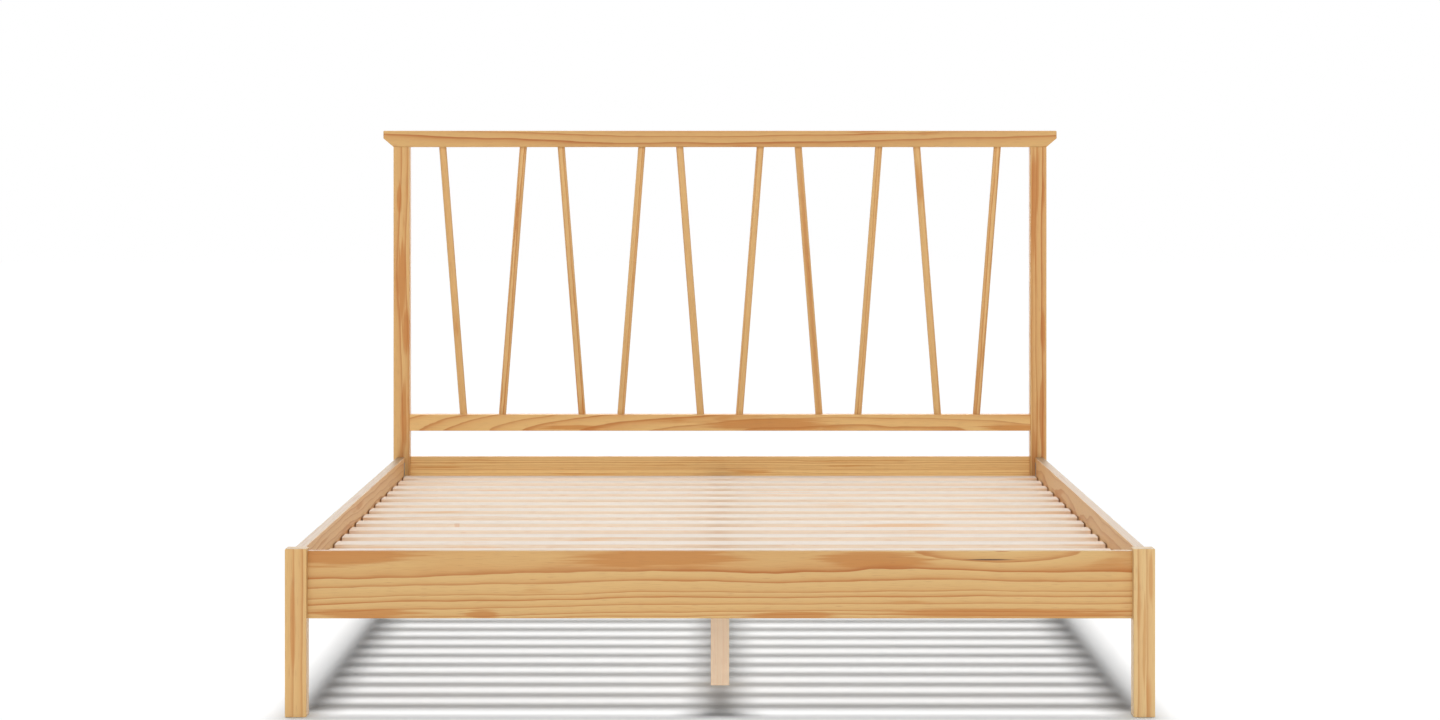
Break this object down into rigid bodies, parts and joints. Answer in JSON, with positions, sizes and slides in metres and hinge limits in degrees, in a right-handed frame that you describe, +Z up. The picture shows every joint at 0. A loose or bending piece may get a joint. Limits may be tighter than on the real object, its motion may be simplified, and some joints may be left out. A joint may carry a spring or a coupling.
{
  "type": "bed frame",
  "caption": "Pine bed frame on square legs with a tall headboard of leaning round spindles in V pairs under a bevelled cap, low rails and a slat base on cleats.",
  "frame": {"origin": "on the floor, in the middle of the bed's outline", "axes": "+X across the bed to the right as seen from its foot, +Y from the foot to the head, +Z up"},
  "size_m": [1.656, 2.12, 1.108],
  "materials": {
    "honey_pine": "satin clear lacquer on honey-toned pine",
    "raw_pine": "planed pale pine, no lacquer",
    "beech": "plain turned dowel",
    "zinc_steel": "bright zinc plate",
    "webbing": "woven tape"
  },
  "bodies": {
    "frame": {"headboard_cap": "honey_pine", "headboard_mid_rail": "honey_pine", "head_end_rail": "honey_pine", "foot_rail": "honey_pine", "head_post_left": "honey_pine", "head_post_right": "honey_pine", "foot_leg_left": "honey_pine", "foot_leg_right": "honey_pine", "side_rail_left": "honey_pine", "side_rail_right": "honey_pine", "spindle_01": "honey_pine", "spindle_02": "honey_pine", "spindle_03": "honey_pine", "spindle_04": "honey_pine", "spindle_05": "honey_pine", "spindle_06": "honey_pine", "spindle_07": "honey_pine", "spindle_08": "honey_pine", "spindle_09": "honey_pine", "spindle_10": "honey_pine", "slat_ledger_left": "raw_pine", "slat_ledger_right": "raw_pine", "centre_rail": "raw_pine", "centre_leg_1": "raw_pine", "centre_leg_2": "raw_pine", "centre_leg_3": "raw_pine", "centre_rail_seat_foot": "raw_pine", "centre_rail_seat_head": "raw_pine", "hook_bracket_foot_left": "zinc_steel", "hook_bracket_foot_right": "zinc_steel", "hook_bracket_head_left": "zinc_steel", "hook_bracket_head_right": "zinc_steel", "slot_plate_foot_left": "zinc_steel", "slot_plate_foot_right": "zinc_steel", "slot_plate_head_left": "zinc_steel", "slot_plate_head_right": "zinc_steel", "bracket_screws": "zinc_steel", "slot_plate_screws": "zinc_steel", "frame_screws": "zinc_steel", "centre_leg_studs": "zinc_steel", "rail_dowels": "beech", "cap_dowels": "beech"},
    "slat_base": {"slat_01": "raw_pine", "slat_02": "raw_pine", "slat_03": "raw_pine", "slat_04": "raw_pine", "slat_05": "raw_pine", "slat_06": "raw_pine", "slat_07": "raw_pine", "slat_08": "raw_pine", "slat_09": "raw_pine", "slat_10": "raw_pine", "slat_11": "raw_pine", "slat_12": "raw_pine", "slat_13": "raw_pine", "slat_14": "raw_pine", "slat_15": "raw_pine", "slat_tape_left": "webbing", "slat_tape_right": "webbing", "tape_staples": "zinc_steel"}
  },
  "joints": [
    {"name": "slat_base_lift", "type": "slide", "parent": "frame", "child": "slat_base", "axis": [0, 0, 1], "range_m": [0, 0.3]}
  ]
}
